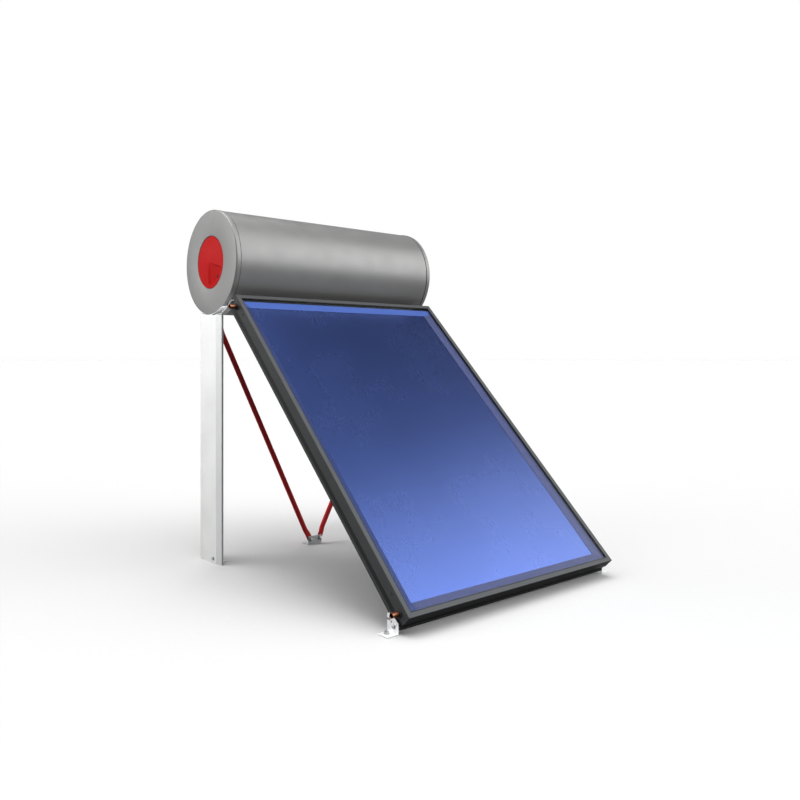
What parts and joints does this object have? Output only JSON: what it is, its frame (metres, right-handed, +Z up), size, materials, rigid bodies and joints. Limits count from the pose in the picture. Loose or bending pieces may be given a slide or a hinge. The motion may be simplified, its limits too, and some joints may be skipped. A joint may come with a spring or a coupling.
{
  "type": "solar water heater",
  "caption": "Thermosiphon solar water heater: a glazed flat-plate collector leaning on a folded-steel stand under a horizontal insulated storage tank.",
  "frame": {"origin": "on the ground under the middle of the whole object's box", "axes": "+X along the tank to its pipe end, +Y from the collector's front edge towards the tank, +Z up"},
  "size_m": [1.3612, 1.7402, 1.7394],
  "materials": {
    "tank_paint": "satin grey polyester powder coat",
    "red_plastic": "glossy red moulded ABS",
    "black_plastic": "fine matt texture",
    "white_plastic": "satin moulded",
    "foam": "rigid polyurethane foam",
    "enamel": "vitreous enamelled steel",
    "plain_steel": "cold-rolled steel",
    "magnesium": "dull extruded magnesium",
    "brass": "turned brass",
    "copper": "bright drawn copper tube",
    "galvanised": "hot-dip galvanised sheet",
    "red_steel": "dark red powder coat",
    "frame_black": "dark anodised extrusion",
    "rubber": "EPDM",
    "glass": "low-iron tempered solar glass",
    "absorber_blue": "blue selective coating",
    "edge_foil": "foil facing",
    "wool": "mineral wool board",
    "back_sheet": "stucco aluminium sheet"
  },
  "bodies": {
    "root": {"frame_left": "frame_black", "frame_right": "frame_black", "frame_bottom": "frame_black", "frame_top": "frame_black", "glass_cover": "glass", "glass_seal": "rubber", "grommet_bottom": "rubber", "grommet_top": "rubber", "flange_gasket": "rubber", "edge_trim": "edge_foil", "absorber_plate": "absorber_blue", "wool_insulation": "wool", "back_sheet": "back_sheet", "header_bottom": "copper", "header_top": "copper", "heating_element": "copper", "riser_1": "copper", "riser_2": "copper", "riser_3": "copper", "riser_4": "copper", "riser_5": "copper", "riser_6": "copper", "tank_jacket": "tank_paint", "end_cap_left": "tank_paint", "end_cap_right": "tank_paint", "tank_insulation": "foam", "inner_tank": "enamel", "mantle_shell": "plain_steel", "flange_plate": "plain_steel", "flange_bolt_1": "plain_steel", "flange_bolt_2": "plain_steel", "flange_bolt_3": "plain_steel", "flange_bolt_4": "plain_steel", "anode_rod": "magnesium", "thermostat_body": "black_plastic", "cold_inlet": "brass", "hot_outlet": "brass", "circuit_return": "brass", "circuit_flow": "brass", "rear_leg_left": "galvanised", "leg_foot_left": "galvanised", "saddle_left": "galvanised", "collector_clip_left": "galvanised", "front_foot_left": "galvanised", "anchor_bolt_left": "plain_steel", "brace_bolt_left": "plain_steel", "brace_left": "red_steel", "rear_leg_right": "galvanised", "leg_foot_right": "galvanised", "saddle_right": "galvanised", "collector_clip_right": "galvanised", "front_foot_right": "galvanised", "anchor_bolt_right": "plain_steel", "brace_bolt_right": "plain_steel", "brace_right": "red_steel", "brace_foot": "galvanised"},
    "cover": {"service_cover": "red_plastic", "cable_gland": "black_plastic"},
    "knob": {"thermostat_knob": "white_plastic"},
    "button": {"reset_button": "red_plastic"}
  },
  "joints": [
    {"name": "cover_pull", "type": "slide", "parent": "root", "child": "cover", "axis": [-1, 0, 0], "range_m": [0, 0.12]},
    {"name": "thermostat_turn", "type": "hinge", "parent": "root", "child": "knob", "pos_m": [-0.605, 0.6105, 1.4934], "axis": [1, 0, 0], "range_deg": [-120, 120]},
    {"name": "reset_press", "type": "slide", "parent": "root", "child": "button", "axis": [1, 0, 0], "range_m": [0, 0.003], "stiffness_N_per_m": 500, "springref_m": -0.002}
  ]
}
